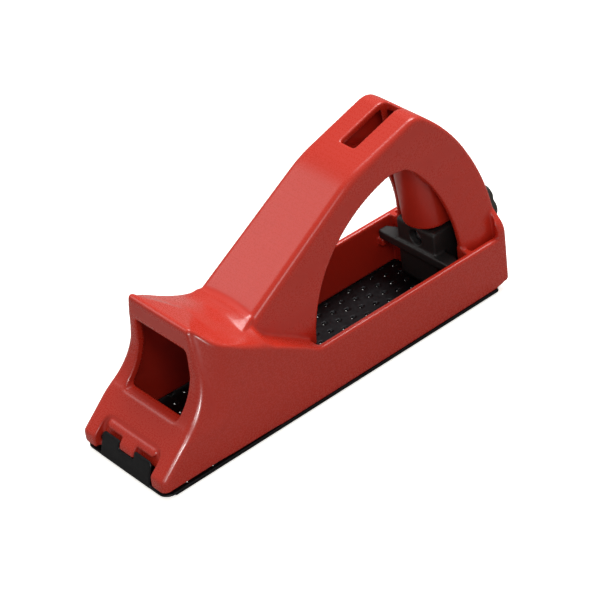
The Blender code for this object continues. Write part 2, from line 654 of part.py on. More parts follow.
build_body()
build_blade()
build_carriage()
build_screw()
build_knob()
build_ring("washer", SCREW_CLEARANCE + WASHER_WIDTH, SCREW_CLEARANCE, WASHER_X, WASHER_THICKNESS)
build_clip()
build_nut()
for name, finish in FINISHES.items():
    bpy.data.objects[name].data.materials.append(finish)
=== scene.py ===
# %% Start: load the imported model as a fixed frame
import math

import bpy
import numpy as np
from mathutils import Matrix, Vector


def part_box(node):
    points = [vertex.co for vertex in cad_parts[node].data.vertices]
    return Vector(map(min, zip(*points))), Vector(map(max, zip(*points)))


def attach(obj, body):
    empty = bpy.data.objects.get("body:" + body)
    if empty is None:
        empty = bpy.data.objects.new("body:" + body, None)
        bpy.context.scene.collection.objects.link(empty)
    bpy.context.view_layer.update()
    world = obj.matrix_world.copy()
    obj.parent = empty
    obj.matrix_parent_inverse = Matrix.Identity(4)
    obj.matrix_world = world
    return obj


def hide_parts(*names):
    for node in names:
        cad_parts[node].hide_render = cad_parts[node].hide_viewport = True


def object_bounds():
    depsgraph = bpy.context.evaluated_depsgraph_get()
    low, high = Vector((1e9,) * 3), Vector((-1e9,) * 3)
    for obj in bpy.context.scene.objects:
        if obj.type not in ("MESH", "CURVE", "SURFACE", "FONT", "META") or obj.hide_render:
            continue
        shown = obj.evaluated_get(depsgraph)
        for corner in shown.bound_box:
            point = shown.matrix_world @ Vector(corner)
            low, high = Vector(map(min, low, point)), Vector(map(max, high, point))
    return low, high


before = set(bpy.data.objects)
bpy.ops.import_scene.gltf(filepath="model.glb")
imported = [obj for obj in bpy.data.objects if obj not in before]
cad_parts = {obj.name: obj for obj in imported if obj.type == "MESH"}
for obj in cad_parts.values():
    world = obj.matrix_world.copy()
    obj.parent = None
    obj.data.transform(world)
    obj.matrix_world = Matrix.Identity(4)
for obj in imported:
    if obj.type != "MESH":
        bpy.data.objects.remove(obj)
cad_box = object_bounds()
MM = 0.001


def corner(node, which):
    """Lowest (0) or highest (1) corner of a CAD node, in millimetres."""
    return np.array(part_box(node)[which]) / MM


body_low, body_high = corner("body", 0), corner("body", 1)
TOE, HEEL, HALF_WIDTH, SOLE = body_low[0], body_high[0], body_high[1], corner("blade", 0)[2]
print("body from", body_low.round(1), "to", body_high.round(1), "mm")

# %% [markdown]
# # Camera
# The tool is seen from above its toe, over its left side, through a long lens. A camera could be
# placed by hand in the viewport. Two angles and a distance from a point inside the tool say the same
# in numbers that can be read, and a third angle tilts the frame a little.

# %% Camera: aimed along two angles at a point near the middle of the tool
AZIMUTH, ELEVATION, ROLL = (math.radians(angle) for angle in (-36.4, 35.0, -8.01))
TARGET = Vector((0.0087, 0.0090, 0.0176))
DISTANCE = 0.761
LENS_MM, SENSOR_MM = 134.1, 36.0
back = Vector((
    math.sin(AZIMUTH) * math.cos(ELEVATION),
    -math.cos(AZIMUTH) * math.cos(ELEVATION),
    math.sin(ELEVATION),
))
right = Vector((0, 0, 1)).cross(back).normalized()
up = back.cross(right)
tilted_right = right * math.cos(ROLL) + up * math.sin(ROLL)
tilted_up = up * math.cos(ROLL) - right * math.sin(ROLL)
camera = bpy.data.objects.new("camera", bpy.data.cameras.new("camera"))
camera.data.lens = LENS_MM
camera.data.sensor_width = SENSOR_MM
camera.matrix_world = Matrix.Translation(TARGET + back * DISTANCE) @ Matrix((
    tilted_right, tilted_up, back,
)).transposed().to_4x4()
bpy.context.scene.collection.objects.link(camera)
bpy.context.scene.camera = camera
print("camera", round(DISTANCE / MM), "mm away, lens", LENS_MM, "mm")

# %% [markdown]
# # Colour and shader helpers
# Colours are written the way a paint chart gives them, as sRGB hex, and one function turns them into
# the linear values that a renderer adds up. One more adds a shader node with its settings and links,
# so a material reads as a list of what it is made of. Every moulded or metal surface of the tool has
# the same three parts: a colour that drifts between two close tones, a sheen that drifts too, and a
# fine skin. A third function makes these, each from noise of its own size in millimetres.


# %% Helpers for materials
def linear(colour):
    """sRGB hex to linear red, green, blue and alpha: the power law of the sRGB standard."""
    parts = [int(colour[i:i + 2], 16) / 255 for i in (1, 3, 5)]
    return [p / 12.92 if p <= 0.04045 else ((p + 0.055) / 1.055) ** 2.4 for p in parts] + [1.0]


def node(tree, kind, settings=None, **inputs):
    """Add a node. An input is a value or another node's output; underscores stand for spaces."""
    made = tree.nodes.new("ShaderNode" + kind)
    for name, value in (settings or {}).items():
        setattr(made, name, value)
    for name, value in inputs.items():
        socket = made.inputs[int(name[1:]) if name[1:].isdigit() else name.replace("_", " ")]
        if isinstance(value, bpy.types.NodeSocket):
            tree.links.new(value, socket)
        else:
            socket.default_value = value
    return made


def new_material(name, **settings):
    """A material with one Principled shader, whose sockets take the settings."""
    material = bpy.data.materials.new(name)
    material.use_nodes = True
    shader = material.node_tree.nodes["Principled BSDF"]
    for key, value in settings.items():
        shader.inputs[key.replace("_", " ")].default_value = value
    print("material", name)
    return material, material.node_tree, shader


def remap(tree, value, low, high, from_low, from_high):
    """A value taken from one range to another: a straight line between the ends, level past them."""
    line = node(tree, "MapRange", Value=value, From_Min=from_low, From_Max=from_high,
                To_Min=low, To_Max=high)
    return line.outputs["Result"]


def drifting(tree, size_mm, detail=3.0):
    """Noise on the piece's own coordinates, whose lumps are about size_mm across."""
    place = node(tree, "TexCoord").outputs["Object"]
    return node(tree, "TexNoise", Vector=place, Scale=1 / (size_mm * MM), Detail=detail).outputs["Fac"]


def surface(tree, shader, tones, tone_mm, sheen, sheen_mm, skin=None, detail=3.0):
    """Colour that drifts between two tones, and roughness between two values. A skin of fine lumps has
    their size and depth in mm, its strength and its noise's detail. Returns the colour and roughness, for
    wear or a painted highlight to change."""
    colour = node(tree, "Mix", {"data_type": "RGBA"}, _0=drifting(tree, tone_mm, detail),
                  _6=linear(tones[0]), _7=linear(tones[1])).outputs[2]
    rough = remap(tree, drifting(tree, sheen_mm, detail), *sheen, 0.3, 0.7)
    tree.links.new(colour, shader.inputs["Base Color"])
    tree.links.new(rough, shader.inputs["Roughness"])
    if skin:
        lump_mm, depth_mm, strength, lump_detail = skin
        bump = node(tree, "Bump", Height=drifting(tree, lump_mm, lump_detail), Strength=strength,
                    Distance=depth_mm * MM)
        tree.links.new(bump.outputs["Normal"], shader.inputs["Normal"])
    return colour, rough


# %% [markdown]
# # Soft studio
# A white board and a white surround would throw so much light back that the tool's sides went pale.
# Photographers lay black cards just outside the frame to stop that. Here the Light Path node does the
# same: what the camera sees directly is white, and what lights the tool is a dimmer grey. One large
# lamp above and behind makes the tops brighter than the toe, a weaker one on the far side puts a
# sheen on the slopes, and a small one beside the camera lifts the near side and the inside of the nose.


# %% Surround and floor
def seen_directly(tree, for_tool, for_camera):
    """One value for light that reaches the camera directly, and another for all that lights the tool."""
    ray = node(tree, "LightPath").outputs["Is Camera Ray"]
    return remap(tree, ray, for_tool, for_camera, 0.0, 1.0)


CARDED_LIGHT = 0.36
world = bpy.data.worlds.new("white_studio")
world.use_nodes = True
background = world.node_tree.nodes["Background"]
background.inputs["Color"].default_value = linear("#FFFDFA")
world.node_tree.links.new(seen_directly(world.node_tree, CARDED_LIGHT, 1.0), background.inputs["Strength"])
bpy.context.scene.world = world
bpy.context.scene.view_settings.view_transform = "Standard"

FLOOR_REACH, FLOOR_GLOW = 4.0, 0.72
floor_mesh = bpy.data.meshes.new("floor")
floor_corners = FLOOR_REACH * np.array(((-1, -1, 0), (1, -1, 0), (1, 1, 0), (-1, 1, 0)))
floor_mesh.from_pydata(floor_corners + (0, 0, cad_box[0].z), [], [(0, 1, 2, 3)])
floor = bpy.data.objects.new("floor", floor_mesh)
bpy.context.scene.collection.objects.link(floor)
floor_paint, tree, shader = new_material("board_painted_white", Roughness=0.9)
carded = node(tree, "Mix", {"data_type": "RGBA"}, _0=seen_directly(tree, 0.0, 1.0),
              _6=linear("#A3A19E"), _7=linear("#F4F2EF")).outputs[2]
tree.links.new(carded, shader.inputs["Base Color"])
tree.links.new(seen_directly(tree, 0.0, FLOOR_GLOW), shader.inputs["Emission Strength"])
shader.inputs["Emission Color"].default_value = linear("#FFFDF9")
floor_mesh.materials.append(floor_paint)


# %% Lamps
def area_light(name, place, aim, size, power):
    """A soft square light at a place in metres, turned to face a point, with its power in watts."""
    lamp = bpy.data.lights.new(name, "AREA")
    lamp.size = size
    lamp.energy = power
    light = bpy.data.objects.new(name, lamp)
    light.location = place
    light.rotation_euler = (Vector(aim) - Vector(place)).to_track_quat("-Z", "Y").to_euler()
    bpy.context.scene.collection.objects.link(light)
    print("lamp", name, power, "W")
    return light


beside_camera = TARGET + back * DISTANCE + tilted_right * 0.08 + tilted_up * 0.12
area_light("overhead", (0.5, 0.2, 1.1), (0, 0, 0), 0.6, 11.0)
area_light("far_side", (-0.26, 0.56, 0.58), (0, 0, 0.03), 0.32, 0.6)
area_light("fill", beside_camera, TARGET, 0.16, 0.7)

# %% [markdown]
# # Glint on the toe's edge
# A bright streak runs down the rounded edge of the toe: the reflection of a small lamp close by. Such
# a lamp would light the whole nose as well. Here it is seen only in reflections, and it stands where
# the edge mirrors it to the camera, along twice the edge normal's share of the view less the view.

# %% Glint strips: a near pair of lamps that show only as reflections on the rounded edge of the toe
STRIP_AWAY, STRIP_LONG = 0.08, 0.014
edge_normal = Vector((-0.66, -1.0, 0.75)).normalized()
edge_middle = Vector((TOE + 6.5, -HALF_WIDTH + 0.7, SOLE + 12.0)) * MM
mirror_way = (2 * edge_normal.dot(back) * edge_normal - back).normalized()
edge_way = Vector((0.745, 0.0, 0.667))
across_way = mirror_way.cross(edge_way).normalized()
facing = Matrix((across_way, mirror_way.cross(across_way), mirror_way)).transposed().to_4x4()
for name, shift, width, power in (("glint", 0.0, 0.012, 0.05), ("glint_thin", 0.034, 0.004, 0.017)):
    strip_place = edge_middle + mirror_way * STRIP_AWAY + across_way * shift
    strip = area_light(name, strip_place, edge_middle, width, power)
    strip.data.shape = "RECTANGLE"
    strip.data.size_y = STRIP_LONG
    strip.matrix_world = Matrix.Translation(strip_place) @ facing
    strip.visible_diffuse = False
    strip.visible_camera = False

# %% [markdown]
# # Moulded shapes as distance fields
# The body is one injection moulding: walls 2.5 mm thick, every outer edge rounded, every inner corner
# filleted. Modelling it face by face and bevelling it is slow work, and Booleans leave no fillets. A
# distance field does both at once. Each field tells how far a point is from a surface, negative
# inside. The larger of two fields is their overlap and the smaller is their union, and rounding that
# choice by a radius gives a real fillet.


# %% Helpers for fields
def join(a, b, radius=0.0):
    """Union of two fields, with a fillet: where both are within radius, a circle bridges them."""
    both = np.hypot(np.maximum(radius - a, 0), np.maximum(radius - b, 0))
    return np.maximum(radius, np.minimum(a, b)) - both


def meet(a, b, radius=0.0):
    """Overlap of two fields, with its edge rounded."""
    return -join(-a, -b, radius)


def cut(a, b, radius=0.0):
    """The first field less the second, with the rim of the cut rounded."""
    return meet(a, -b, radius)


def between(value, low, high):
    """Field of the slab in which a coordinate lies between two values: how far it is past either."""
    return np.maximum(low - value, value - high)


def rounded(corners, steps=8):
    """A closed outline from (u, v, radius) corners: each becomes the arc that touches both its sides."""
    points = []
    for i, (u, v, radius) in enumerate(corners):
        here = np.array((u, v))
        before = np.array(corners[i - 1][:2]) - here
        after = np.array(corners[(i + 1) % len(corners)][:2]) - here
        before, after = before / np.hypot(*before), after / np.hypot(*after)
        if radius == 0:
            points.append(here)
            continue
        half = math.acos(np.clip(before @ after, -1, 1)) / 2
        middle = (before + after) / np.hypot(*(before + after))
        centre = here + middle * radius / math.sin(half)
        start = here + before * radius / math.tan(half) - centre
        sweep = (math.pi - 2 * half) * np.sign(before[0] * after[1] - before[1] * after[0]) * -1
        angles = np.linspace(0, sweep, steps + 1)[:, None]
        across = np.array((-start[1], start[0]))
        points.extend(centre + start * np.cos(angles) + across * np.sin(angles))
    return np.array(points)


def outline_field(u, v, outline):
    """Distance from points to a closed outline: the nearest of its sides, negative where a ray to the
    right crosses an odd number of them."""
    u, v = np.broadcast_arrays(np.asarray(u, float), np.asarray(v, float))
    here = np.stack((u, v), -1)[..., None, :]
    first = np.asarray(outline, float)
    second = np.roll(first, -1, 0)
    side = second - first
    along = np.clip(((here - first) * side).sum(-1) / (side**2).sum(-1), 0, 1)
    distance = np.linalg.norm(here - first - along[..., None] * side, axis=-1).min(-1)
    straddles = (first[:, 1] > v[..., None]) != (second[:, 1] > v[..., None])
    rise = np.where(side[:, 1] == 0, 1, side[:, 1])
    reach = first[:, 0] + side[:, 0] * (v[..., None] - first[:, 1]) / rise
    odd = (straddles & (u[..., None] < reach)).sum(-1) % 2 == 1
    return np.where(odd, -distance, distance)


def curve_through(x, places, values):
    """Smooth curve through points: a cubic in each gap, with the slope at each point shared."""
    places, values = np.array(places, float), np.array(values, float)
    slope = np.gradient(values, places)
    slope[-1] = 0
    i = np.clip(np.searchsorted(places, x) - 1, 0, len(places) - 2)
    gap = places[i + 1] - places[i]
    t = np.clip((x - places[i]) / gap, 0, 1)
    start = values[i] * (1 + 2 * t) * (1 - t)**2 + gap * slope[i] * t * (1 - t)**2
    return start + values[i + 1] * t**2 * (3 - 2 * t) + gap * slope[i + 1] * t**2 * (t - 1)


def smooth_step(x, low, high):
    """0 up to low, 1 from high on, and between them a cubic that is level at both ends."""
    t = np.clip((x - low) / (high - low), 0, 1)
    return t * t * (3 - 2 * t)


# %% [markdown]
# # From a field to a mesh
# A skin is laid over the zero surface of a field by surface nets: every grid cell that the surface
# passes through gets one point, at the mean of where it crosses the cell's edges, and every grid edge
# that it crosses gets one quad between the four cells round it. The points are then slid along the
# field's gradient onto the surface, and the gradient itself gives the shading normals, so a coarse
# skin still shades like a smooth one.


# %% Helpers for meshes
def grid_axes(low, high, cell):
    """Coordinates along x, y and z that broadcast, with y at half cells so that halves mirror."""
    axes = []
    for axis in range(3):
        first, last = math.floor(low[axis] / cell) - 1, math.ceil(high[axis] / cell) + 1
        shift = 0.5 if axis == 1 else 0.0
        shape = [1, 1, 1]
        shape[axis] = -1
        axes.append(((np.arange(first, last + 1) + shift) * cell).reshape(shape))
    return axes


def sampled(grid, at):
    """Values of a grid at fractional indices, mixed from the eight grid points round each."""
    base = np.clip(np.floor(at).astype(int), 0, np.array(grid.shape[:3]) - 2)
    part = at - base
    total = 0
    for i, j, k in np.ndindex(2, 2, 2):
        share = (np.where(i, part[:, 0], 1 - part[:, 0]) * np.where(j, part[:, 1], 1 - part[:, 1])
                 * np.where(k, part[:, 2], 1 - part[:, 2]))
        values = grid[base[:, 0] + i, base[:, 1] + j, base[:, 2] + k]
        total = total + values * share.reshape(-1, *[1] * (grid.ndim - 3))
    return total


def surface_net(field):
    """Points, in grid indices, and quads over the zero surface of a grid of distances."""
    inside = field < 0
    spans = [(slice(0, -1), slice(1, None))] * 3
    count = sum(inside[spans[0][i], spans[1][j], spans[2][k]].astype(np.int8)
                for i, j, k in np.ndindex(2, 2, 2))
    active = (count > 0) & (count < 8)
    number = np.full(active.shape, -1)
    number[active] = np.arange(active.sum())
    cells = np.argwhere(active)
    corners = np.array(list(np.ndindex(2, 2, 2)))
    values = np.stack([field[tuple((cells + c).T)] for c in corners], 1)
    total, crossings = np.zeros(cells.shape), np.zeros(len(cells))
    for a, b in np.argwhere(np.abs(corners[:, None] - corners[None]).sum(-1) == 1):
        if a < b:
            crossed = (values[:, a] < 0) != (values[:, b] < 0)
            share = np.where(crossed, values[:, a] / np.where(crossed, values[:, a] - values[:, b], 1), 0)
            point = corners[a] + (corners[b] - corners[a]) * share[:, None]
            total += np.where(crossed[:, None], point, 0)
            crossings += crossed
    quads = []
    for axis in range(3):
        low = np.moveaxis(inside, axis, 0)[:-1]
        high = np.moveaxis(inside, axis, 0)[1:]
        edges = np.argwhere(np.moveaxis(low != high, 0, axis))
        side, other = (axis + 1) % 3, (axis + 2) % 3
        edges = edges[(edges[:, side] > 0) & (edges[:, other] > 0)]
        limit = np.array(active.shape)
        edges = edges[(edges[:, side] < limit[side]) & (edges[:, other] < limit[other])]
        steps = np.zeros((4, 3), int)
        steps[[0, 3], side] = -1
        steps[[0, 1], other] = -1
        quad = np.stack([number[tuple((edges + s).T)] for s in steps], 1)
        outward = inside[tuple(edges.T)]
        quads.append(np.where(outward[:, None], quad, quad[:, ::-1]))
    return cells + total / crossings[:, None], np.concatenate(quads)


def add_mesh(name, points, faces, normals=None):
    """A mesh object from arrays: points in millimetres, and faces with equally many corners."""
    mesh = bpy.data.meshes.new(name)
    faces = np.asarray(faces)
    size = faces.shape[1]
    mesh.vertices.add(len(points))
    mesh.vertices.foreach_set("co", (np.asarray(points) * MM).astype(np.float32).ravel())
    mesh.loops.add(faces.size)
    mesh.loops.foreach_set("vertex_index", faces.astype(np.int32).ravel())
    mesh.polygons.add(len(faces))
    mesh.polygons.foreach_set("loop_start", np.arange(0, faces.size, size, dtype=np.int32))
    mesh.polygons.foreach_set("use_smooth", np.ones(len(faces), bool))
    mesh.update(calc_edges=True)
    if normals is not None:
        mesh.normals_split_custom_set_from_vertices(normals.astype(np.float32))
    made = bpy.data.objects.new(name, mesh)
    bpy.context.scene.collection.objects.link(made)
    return made


def moulding(name, make_field, low, high, cell, most_triangles):
    """Mesh of the solid that a field describes. From low y = 0, the field is worked out on one side
    and mirrored. It is then meshed, thinned where it is flat, and given the field's own normals."""
    x, y, z = grid_axes(low, high, cell)
    if low[1] == 0:
        y = y[:, y[0, :, 0] > 0]
    field = np.ascontiguousarray(np.broadcast_to(make_field(x, y, z), (x.size, y.size, z.size)))
    if low[1] == 0:
        field = np.concatenate((field[:, ::-1], field), 1)
    origin = np.array((x[0, 0, 0], y[0, 0, 0] if low[1] else -y[0, -1, 0], z[0, 0, 0]))
    slopes = np.stack(np.gradient(field, cell), -1)
    points, quads = surface_net(field)

    def settled(at):
        """Grid places slid onto the surface, by the distance over the slope, twice."""
        for _ in range(2):
            slope = sampled(slopes, at)
            steep = np.maximum((slope**2).sum(1), 0.1)
            at = at - (sampled(field, at) / steep / cell)[:, None] * slope
        return at

    made = add_mesh(name + "_fine", settled(points) * cell + origin, quads)
    ratio = most_triangles / (2 * len(quads))
    if ratio < 1:
        thin = made.modifiers.new("thin", "DECIMATE")
        thin.ratio = ratio
        thin.use_collapse_triangulate = True
    else:
        made.modifiers.new("split", "TRIANGULATE")
    final = bpy.data.meshes.new_from_object(made.evaluated_get(bpy.context.evaluated_depsgraph_get()))
    points = np.empty(len(final.vertices) * 3, np.float32)
    final.vertices.foreach_get("co", points)
    triangles = np.empty(len(final.loops), np.int32)
    final.loops.foreach_get("vertex_index", triangles)
    bpy.data.objects.remove(made)
    at = settled((points.reshape(-1, 3).astype(float) / MM - origin) / cell)
    slope = sampled(slopes, at)
    normals = slope / np.maximum(np.linalg.norm(slope, axis=1, keepdims=True), 1e-6)
    made = add_mesh(name, at * cell + origin, triangles.reshape(-1, 3), normals)
    bend = sum(np.gradient(slopes[..., axis], cell, axis=axis) for axis in range(3))
    edge = made.data.attributes.new("edge", "FLOAT", "POINT")
    edge.data.foreach_set("value", np.clip(sampled(bend, at), -1, 1).astype(np.float32))
    print(name, len(triangles) // 3, "triangles")
    return made

# %% [markdown]
# # Body: nose and base
# The nose is a wedge with an upright toe, a scooped front with a wide window, and a top whose two
# creases cross in an X. Behind it two rails run to the heel wall. Seen from the side, outlines with
# rounded corners give the front; seen from above and from the end, a table of heights and widths
# gives the shoulder. Each becomes one field, and their overlap is the solid.

# %% Nose and base
WALL = 2.5
RAIL_TOP = 22.4
SIDE_TOP = 16.5
BODY_BOTTOM = SOLE + 2.0
LIP = (TOE + 24.5, SOLE + 51.7)
WAIST = TOE + 34.3
NECK_FOOT = (TOE + 48.4, SOLE + 40.0)
SHOULDER_X = TOE + np.array((24.5, 28.5, 32.0, 39.0, 52.5, 63.7, 70.5))
SHOULDER_Z = SOLE + np.array((51.7, 46.6, 44.2, 39.8, 32.3, 26.0, 22.4))
SHOULDER_IN = np.array((6.2, 1.6, 0.0, 0.0, 0.0, 0.0, 0.0))
print("lip at x, z", LIP, "waist at x", round(WAIST, 1), "neck foot at x, z", NECK_FOOT)


def front_outline():
    """Side view of all that lies behind the toe, the scoop and the lip."""
    start, end, radius = np.array((TOE + 13.3, 19.5)), np.array((TOE + 22.4, 34.5)), 22.0
    chord = end - start
    span = np.hypot(*chord)
    away = np.array((-chord[1], chord[0])) / span
    centre = (start + end) / 2 + away * math.sqrt(radius**2 - span**2 / 4)
    first = math.atan2(*(start - centre)[::-1])
    last = math.atan2(*(end - centre)[::-1])
    corners = [(TOE, -12, 0), (TOE, 7.3, 2.4)]
    corners += [(*(centre + radius * np.array((math.cos(a), math.sin(a)))), 0)
                for a in np.linspace(first, last, 12)]
    corners += [(TOE + 22.7, 44.0, 8.0), (TOE + 23.3, 62.0, 0), (HEEL + 30, 62, 0), (HEEL + 30, -12, 0)]
    return rounded(corners)


def shoulder_top(x, y, z):
    """Height above the nose top: a flat down the middle, and on each side a plane that falls from a
    crease to the shoulder's edge. The crease is crisp ahead of the waist and soft behind it."""
    at = np.clip(x, LIP[0], SHOULDER_X[-1])
    side_z = curve_through(at, SHOULDER_X, SHOULDER_Z)
    side_y = HALF_WIDTH - curve_through(at, SHOULDER_X, SHOULDER_IN)
    crease_y = np.interp(at, (LIP[0], WAIST, NECK_FOOT[0]), (HALF_WIDTH - 6.8, 0.8, 14.4))
    falls = (LIP[0], NECK_FOOT[0], *SHOULDER_X[4:])
    crease_z = np.interp(at, falls, (LIP[1], NECK_FOOT[1], SOLE + 34.5, SOLE + 27.0, RAIL_TOP))
    slope = (crease_z - side_z) / np.maximum(side_y - crease_y, 0.3)
    plane = side_z + slope * (side_y - y)
    steep = np.hypot(1, np.hypot(np.gradient(plane, x[:, 0, 0], axis=0), slope))
    flat = crease_z + 0 * y
    flat_steep = np.hypot(1, np.gradient(crease_z, x[:, 0, 0], axis=0))
    softness = 0.3 + 2.7 * smooth_step(x, WAIST + 1, WAIST + 9)
    return meet((z - flat) / flat_steep, (z - plane) / steep, softness), side_z, side_y


def nose_and_base(x, y, z):
    """Outer solid, inner space and height above the top of the nose, base and heel ears."""
    top, side_z, side_y = shoulder_top(x, y, z)
    lean = (HALF_WIDTH - side_y) / np.maximum(side_z - SIDE_TOP, 1.0)
    side = (y - HALF_WIDTH + lean * np.maximum(z - SIDE_TOP, 0)) / np.hypot(1, lean)
    front = outline_field(x, z, front_outline())
    lift = 0.9 * np.clip((TOE + 52.5 - x) / 35, 0, 1) + 1.3 * np.clip((x - HEEL + 6) / 6, 0, 2)
    outer = meet(side, top, 1.3)
    outer = meet(outer, front, 2.5 - 0.9 * smooth_step(z, 38, 47))
    ears = meet(y - HALF_WIDTH, (y - HALF_WIDTH + z - RAIL_TOP - 3.3) / math.sqrt(2), 2.0)
    outer = join(outer, meet(ears, between(x, HEEL - 3.4, HEEL + 5), 0.6), 0.8)
    outer = meet(outer, y - HALF_WIDTH)
    outer = meet(outer, BODY_BOTTOM + lift - z, 0.5)
    outer = meet(outer, x - HEEL, 1.0)
    inner = meet(meet(side + WALL, top + WALL, 0.8), front + 3.1, 0.8)
    inner = meet(inner, x - SHOULDER_X[-1] + 0.5)
    channel = meet(y - HALF_WIDTH + WALL, between(x, SHOULDER_X[-1] - 0.5, HEEL - WALL), 1.0)
    return outer, np.minimum(inner, channel), top


# %% [markdown]
# # Body: handle
# The handle rises from the nose, bends over the hand and comes down to the heel as the grip. It is a
# side view pulled out to a width that narrows a little upwards, as a draught angle lets it leave its
# mould, and flares where the grip meets the heel. The finger hole cuts through it, and the half-round
# column behind the hole stiffens the grip.

# %% Handle
SPINE_RISE = 0.617
BEND = (TOE + 96.4, NECK_FOOT[1] + SPINE_RISE * 48.0)
CREST = (HEEL - 27.18, SOLE + 79.07)
GRIP_RADIUS = 66.4
GRIP_CENTRE = np.array((HEEL - 66.4, SOLE + 25.5))
COLUMN_X = HEEL - 16.6
COLUMN_BOTTOM = SOLE + 28.5
COLUMN_RADIUS, COLUMN_WALL = 8.3, 2.2
HANDLE_HALF_WIDTH, DRAUGHT = 14.4, 0.04
FLARE_TOP, FLARE_SLOPE, FLARE_MOST = 55.0, 0.085, 2.6
SLOT_FRONT, SLOT_REAR, SLOT_HALF_WIDTH = HEEL - 47.6, HEEL - 25.5, 3.5
print("handle bends at x, z", np.round(BEND, 1), "and ends at", np.round(CREST, 1))


def arc(centre, radius, start, end, steps):
    """Points on a circle between two angles in degrees."""
    angles = np.radians(np.linspace(start, end, steps + 1))
    return np.array(centre) + radius * np.stack((np.cos(angles), np.sin(angles)), 1)


def handle_outline():
    """Side view of the handle, with its spine run on down under the nose top."""
    corners = [(NECK_FOOT[0] - 31, NECK_FOOT[1] - 31 * SPINE_RISE, 0), (*BEND, 40), (*CREST, 7.0)]
    corners += [(*point, 0) for point in arc(GRIP_CENTRE, GRIP_RADIUS, 50.2, 0, 24)]
    return rounded(corners + [(HEEL, -12, 0), (NECK_FOOT[0] - 31, -12, 0)], 10)


def finger_hole_outline():
    """Side view of the finger hole: round in front, and behind it follows the grip."""
    front = [(*point, 0) for point in arc((HEEL - 33.2, 15), 48.8, 172, 100, 36)]
    front.append((HEEL - 35.2, 62.2, 5.0))
    top, foot, radius = np.array((HEEL - 31.5, 59.5)), np.array((HEEL - 16.2, 20.6)), 58.0
    span = np.hypot(*(foot - top))
    inwards = np.array((foot[1] - top[1], top[0] - foot[0])) / span
    centre = (top + foot) / 2 + inwards * math.sqrt(radius**2 - span**2 / 4)
    first = math.degrees(math.atan2(*(top - centre)[::-1]))
    last = math.degrees(math.atan2(*(foot - centre)[::-1]))
    rear = [(*point, 0) for point in arc(centre, radius, first, last, 12)]
    return rounded(front + rear + [(HEEL - 14.5, -3, 0), (TOE + 71.5, -3, 0)])


def handle(x, y, z):
    """Handle shell, its outer solid, and a weight that is 1 by its spine and 0 by its sides."""
    side_view = outline_field(x, z, handle_outline())
    flare = FLARE_SLOPE * np.maximum(FLARE_TOP - z, 0) * smooth_step(x, HEEL - 28, HEEL - 4)
    half = HANDLE_HALF_WIDTH - DRAUGHT * (z - NECK_FOOT[1]) + np.minimum(flare, FLARE_MOST)
    slab = y - half
    soft = np.interp(x, (NECK_FOOT[0], BEND[0], CREST[0], HEEL - 12), (3.0, 2.6, 1.6, 1.0))
    outer = meet(side_view, slab, soft)
    in_nose = meet(NECK_FOOT[0] - 1.9 - x, RAIL_TOP - 4 - z)
    at_heel = meet(HEEL - 25.5 - x, BODY_BOTTOM - z)
    outer = meet(outer, np.minimum(in_nose, at_heel))
    inner = meet(side_view + WALL, slab + WALL, 1.0)
    shell = cut(outer, inner)
    hole = outline_field(x, z, finger_hole_outline())
    rim = meet(meet(outer, hole - 2.0), meet(-slab - 5.5, 50 - z))
    shell = cut(join(shell, rim, 0.4), hole, 0.8)
    ahead = x - (COLUMN_X - 0.1 * (z - COLUMN_BOTTOM))
    column = np.hypot(np.minimum(ahead, 0), y) - COLUMN_RADIUS
    column = meet(cut(column, column + COLUMN_WALL), COLUMN_BOTTOM - z, 0.5)
    shell = join(shell, meet(column, side_view), 0.7)
    slot = outline_field(x, y, rounded([
        (SLOT_FRONT, -SLOT_HALF_WIDTH, 1), (SLOT_REAR, -SLOT_HALF_WIDTH, 1),
        (SLOT_REAR, SLOT_HALF_WIDTH, 1), (SLOT_FRONT, SLOT_HALF_WIDTH, 1)]))
    shell = cut(shell, meet(slot, 66 - z), 0.5)
    return shell, outer, smooth_step(side_view - slab, -1.0, 1.5)


# %% [markdown]
# # Body: small features
# A recess in the toe holds the blade's bent tongue, and a short bar on a stem stands in it and
# catches the tongue's notch. Inside the heel are two webs, two ledges for the carriage and a boss
# round the screw hole.

# %% Toe recess, window and inner features
TONGUE_HALF_WIDTH = 13.0
SCREW_Z = SOLE + 22.8
SCREW_HOLE, BOSS_RADIUS = 2.9, 6.5
print("screw's axis at height", SCREW_Z, "mm")


def toe_recess(x, y, z):
    """Arched recess less the bar and stem in it."""
    side_view = outline_field(x, z, rounded([
        (TOE - 4, -3, 0), (TOE + 1.5, -3, 0), (TOE + 1.5, 2, 1), (TOE + 5.4, 10.2, 1), (TOE + 7.4, 14.6, 1),
        (TOE + 3, 22.5, 0), (TOE - 4, 22.5, 0)]))
    wide = TONGUE_HALF_WIDTH + 2.0
    arch = outline_field(y, z, rounded([
        (-wide, -9, 0), (wide, -9, 0), (wide, 14.5, 4.5), (-wide, 14.5, 4.5)]))
    bar_wide = TONGUE_HALF_WIDTH - 0.5
    bar = outline_field(y, z, rounded([(-bar_wide, 10.8, 0.8), (bar_wide, 10.8, 0.8),
                                       (bar_wide, 12.8, 0.8), (-bar_wide, 12.8, 0.8)]))
    stem = meet(y - 3.7, between(z, 7.3, 12.0), 0.5)
    face = (TOE + 0.2 + 0.3 * (z - 2) - x) / math.hypot(1, 0.3)
    lug = meet(join(bar, stem, 0.4), meet(face, x - TOE - 12), 0.5)
    return cut(meet(side_view, arch, 0.8), lug, 0.3)


